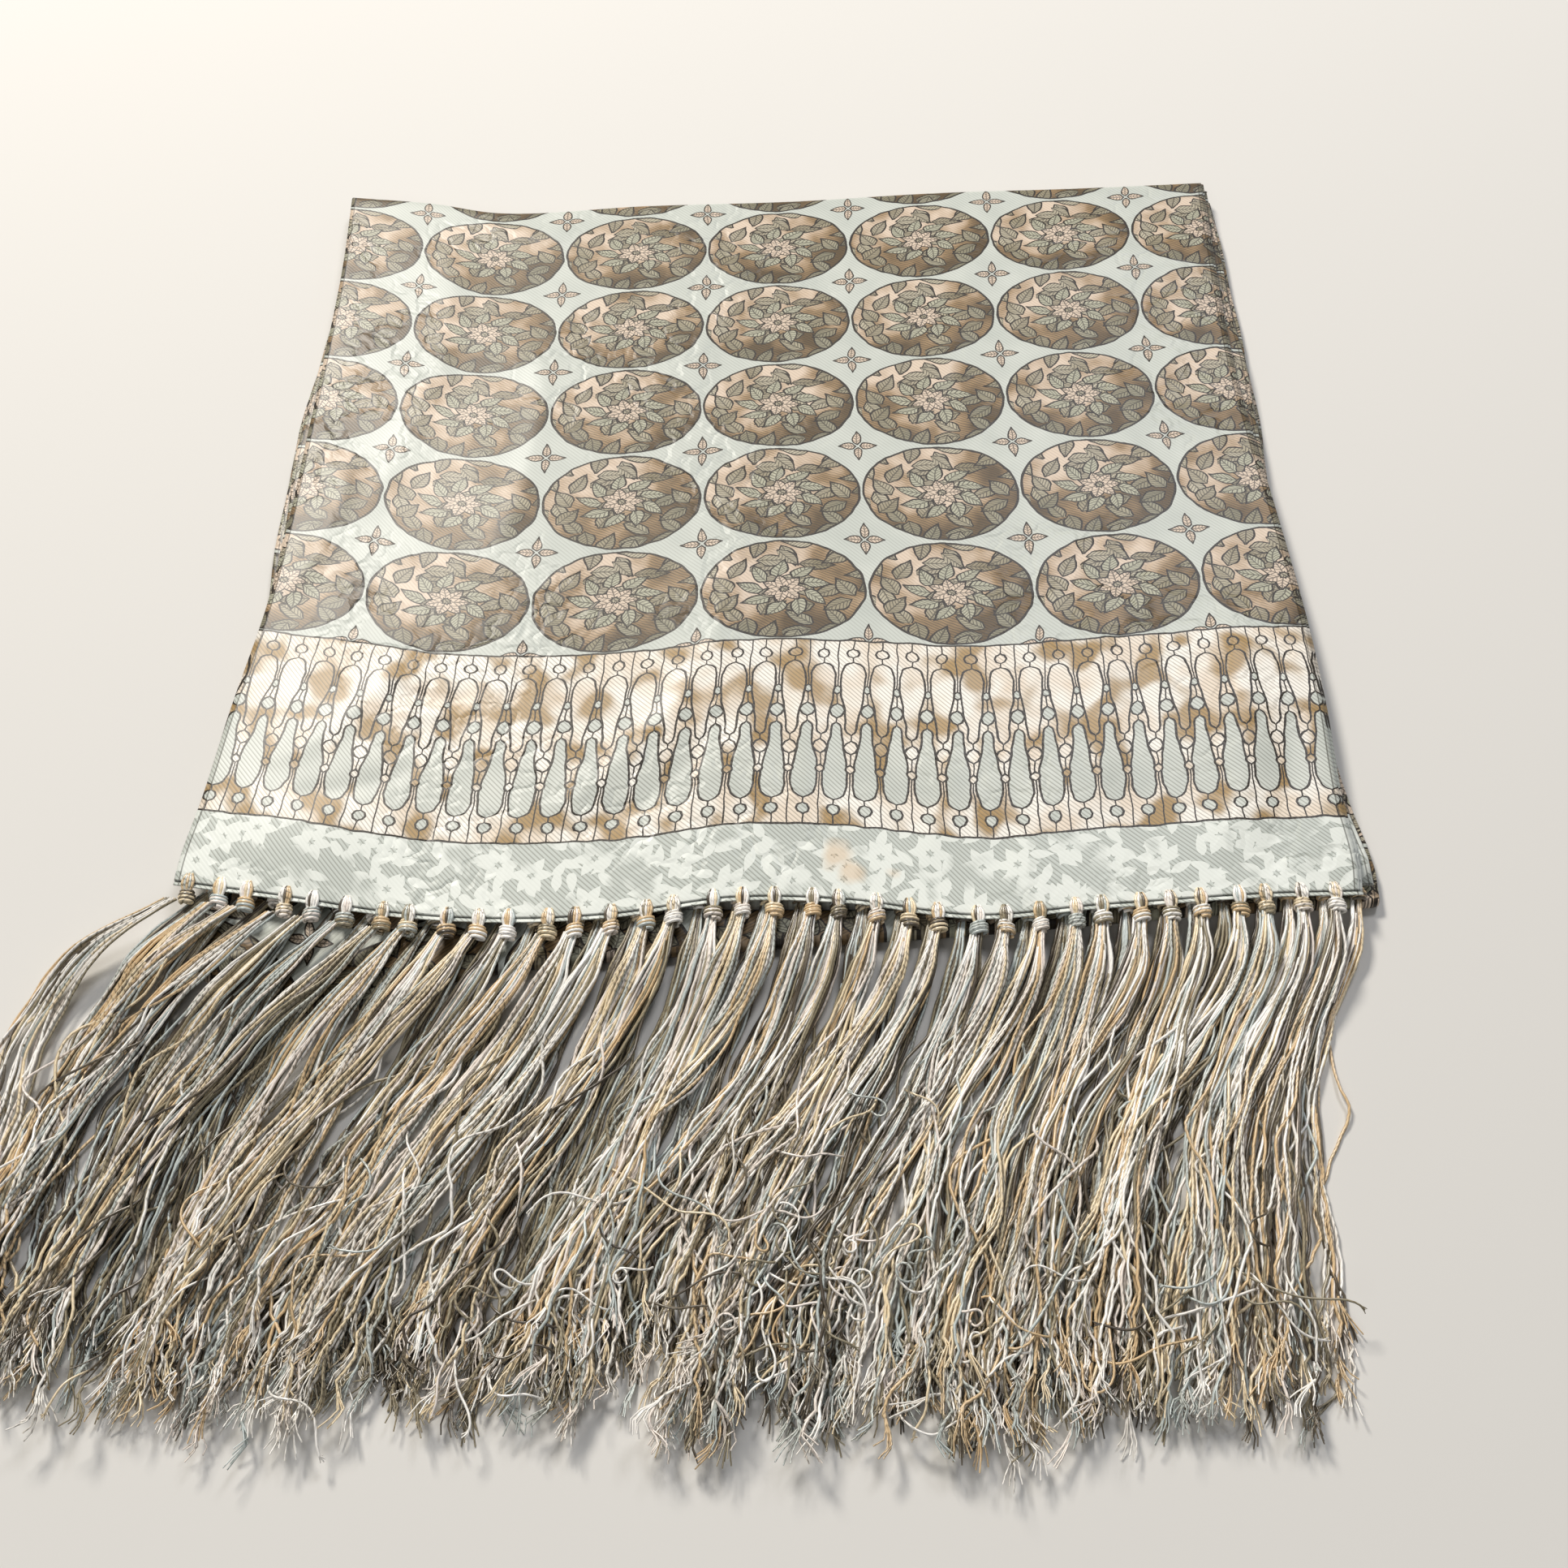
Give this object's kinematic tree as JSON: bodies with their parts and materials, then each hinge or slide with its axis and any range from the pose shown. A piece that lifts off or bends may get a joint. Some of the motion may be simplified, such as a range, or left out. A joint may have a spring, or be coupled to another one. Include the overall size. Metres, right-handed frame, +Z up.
{
  "type": "silk scarf",
  "caption": "Fringed silk twill scarf of double cloth, folded flat into a square stack, with a row of knotted tassels along its hem.",
  "frame": {"origin": "centre of the bottom face of the folded scarf's box, on the surface it lies on", "axes": "+X across the scarf's width, +Y from the fringe towards the outer fold, +Z up through the folded layers"},
  "size_m": [0.3326, 0.4152, 0.0103],
  "materials": {
    "front_ply": "satin",
    "back_ply": "satin",
    "folded_panels": "satin",
    "upper_fringe": "matt yarn",
    "lower_fringe": "matt yarn"
  },
  "bodies": {
    "root": {"front_ply": "front_ply", "back_ply": "back_ply", "folded_panels": "folded_panels", "upper_fringe": "upper_fringe", "lower_fringe": "lower_fringe"}
  },
  "joints": []
}
